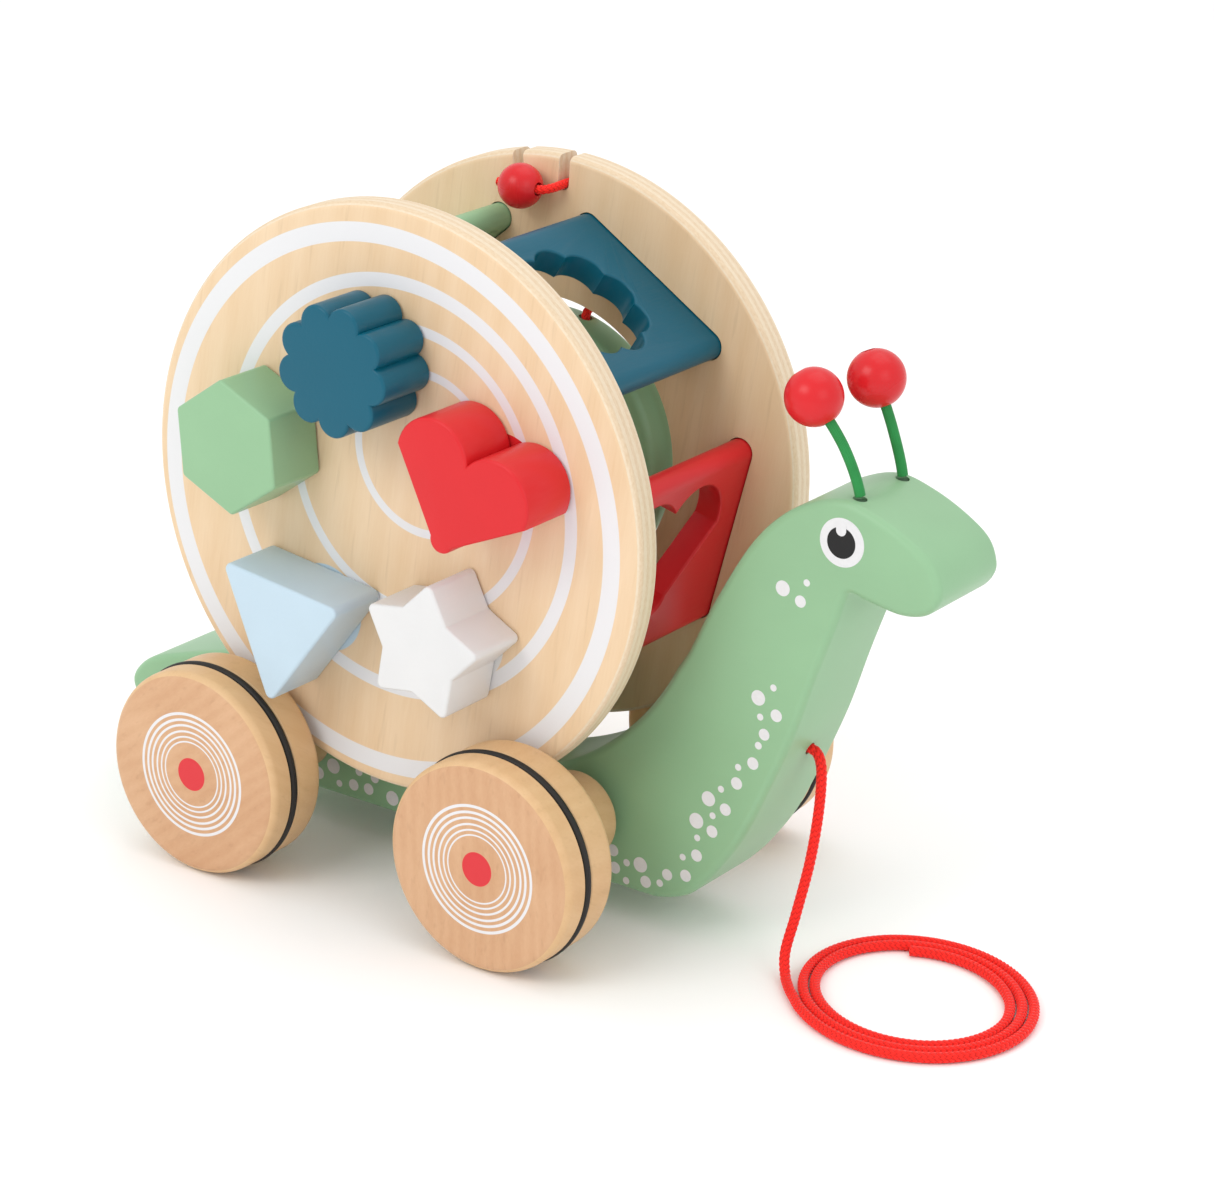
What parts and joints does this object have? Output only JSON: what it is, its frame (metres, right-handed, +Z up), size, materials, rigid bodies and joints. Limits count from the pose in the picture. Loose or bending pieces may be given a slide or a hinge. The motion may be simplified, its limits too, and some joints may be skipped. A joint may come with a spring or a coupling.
{
  "type": "pull along toy",
  "caption": "Wooden pull-along snail with ringed wheels, a turning shell drum with shape-sorting panels, magnetic shape blocks, a tethered lid, springy antennae and a knitted pull cord.",
  "frame": {"origin": "on the floor, under the middle of the toy's box without its pull cord", "axes": "+X the way the snail faces and rolls, +Z up, -Y the side that carries the blocks"},
  "size_m": [0.315, 0.1366, 0.2035],
  "materials": {
    "green_paint": "satin paint",
    "beech": "clear satin lacquer",
    "black_rubber": "matt",
    "plywood": "clear satin lacquer, white print",
    "flower_paint": "satin paint",
    "heart_paint": "satin paint",
    "star_paint": "satin paint",
    "triangle_paint": "satin paint",
    "hexagon_paint": "satin paint",
    "magnet_steel": "plated",
    "red_paint": "gloss paint",
    "red_cord": "knitted polyester",
    "green_cord": "knitted polyester"
  },
  "bodies": {
    "body": {"body_board": "green_paint", "antenna_root_near": "green_cord", "antenna_root_far": "green_cord", "pull_cord": "red_cord", "pull_cord_coil": "red_cord"},
    "front_axle": {"axle_front": "beech", "wheel_front_near": "beech", "wheel_front_far": "beech", "hub_front_near": "beech", "hub_front_far": "beech", "tyre_front_near": "black_rubber", "tyre_front_far": "black_rubber"},
    "rear_axle": {"axle_rear": "beech", "wheel_rear_near": "beech", "wheel_rear_far": "beech", "hub_rear_near": "beech", "hub_rear_far": "beech", "tyre_rear_near": "black_rubber", "tyre_rear_far": "black_rubber"},
    "shell": {"shell_disc_near": "plywood", "shell_disc_far": "plywood", "panel_flower": "flower_paint", "panel_heart": "heart_paint", "panel_star": "star_paint", "panel_triangle": "triangle_paint", "panel_hexagon": "hexagon_paint", "disc_magnet_flower": "magnet_steel", "disc_magnet_heart": "magnet_steel", "disc_magnet_star": "magnet_steel", "disc_magnet_triangle": "magnet_steel", "disc_magnet_hexagon": "magnet_steel", "disc_plug_flower": "beech", "disc_plug_heart": "beech", "disc_plug_star": "beech", "disc_plug_triangle": "beech", "disc_plug_hexagon": "beech", "lid_cord_bead": "red_paint", "lid_cord_end": "red_cord"},
    "lid_on_cord": {"lid": "green_paint", "lid_cord": "red_cord"},
    "flower_block": {"block_flower": "flower_paint", "block_magnet_flower": "magnet_steel"},
    "heart_block": {"block_heart": "heart_paint", "block_magnet_heart": "magnet_steel"},
    "star_block": {"block_star": "star_paint", "block_magnet_star": "magnet_steel"},
    "triangle_block": {"block_triangle": "triangle_paint", "block_magnet_triangle": "magnet_steel"},
    "hexagon_block": {"block_hexagon": "hexagon_paint", "block_magnet_hexagon": "magnet_steel"},
    "antenna_near": {"antenna_cord_near": "green_cord", "antenna_bead_near": "red_paint"},
    "antenna_far": {"antenna_cord_far": "green_cord", "antenna_bead_far": "red_paint"}
  },
  "joints": [
    {"name": "front_axle_turn", "type": "hinge", "parent": "body", "child": "front_axle", "pos_m": [0.0327, 0, 0.0313], "axis": [0, 1, 0], "continuous": true},
    {"name": "rear_axle_turn", "type": "hinge", "parent": "body", "child": "rear_axle", "pos_m": [-0.0705, 0, 0.0313], "axis": [0, 1, 0], "continuous": true},
    {"name": "shell_turn", "type": "hinge", "parent": "body", "child": "shell", "pos_m": [-0.0189, 0, 0.1185], "axis": [0, 1, 0], "continuous": true},
    {"name": "lid_swing", "type": "hinge", "parent": "shell", "child": "lid_on_cord", "pos_m": [-0.01649, 0.0442, 0.19516], "axis": [1, 0, 0], "range_deg": [0, 70]},
    {"name": "flower_block_off", "type": "slide", "parent": "shell", "child": "flower_block", "axis": [0, -1, 0], "range_m": [0, 0.05]},
    {"name": "heart_block_off", "type": "slide", "parent": "shell", "child": "heart_block", "axis": [0, -1, 0], "range_m": [0, 0.05]},
    {"name": "star_block_off", "type": "slide", "parent": "shell", "child": "star_block", "axis": [0, -1, 0], "range_m": [0, 0.05]},
    {"name": "triangle_block_off", "type": "slide", "parent": "shell", "child": "triangle_block", "axis": [0, -1, 0], "range_m": [0, 0.05]},
    {"name": "hexagon_block_off", "type": "slide", "parent": "shell", "child": "hexagon_block", "axis": [0, -1, 0], "range_m": [0, 0.05]},
    {"name": "antenna_near_sway", "type": "hinge", "parent": "body", "child": "antenna_near", "pos_m": [0.1135, -0.0108, 0.1416], "axis": [0, 1, 0], "range_deg": [-20, 20], "stiffness_Nm_per_rad": 0.03},
    {"name": "antenna_far_sway", "type": "hinge", "parent": "body", "child": "antenna_far", "pos_m": [0.1135, 0.0108, 0.1416], "axis": [0, 1, 0], "range_deg": [-20, 20], "stiffness_Nm_per_rad": 0.03}
  ],
  "couplings": [
    {"joint": "rear_axle_turn", "follows": "front_axle_turn", "ratio": 1},
    {"joint": "shell_turn", "follows": "front_axle_turn", "ratio": -0.189}
  ]
}
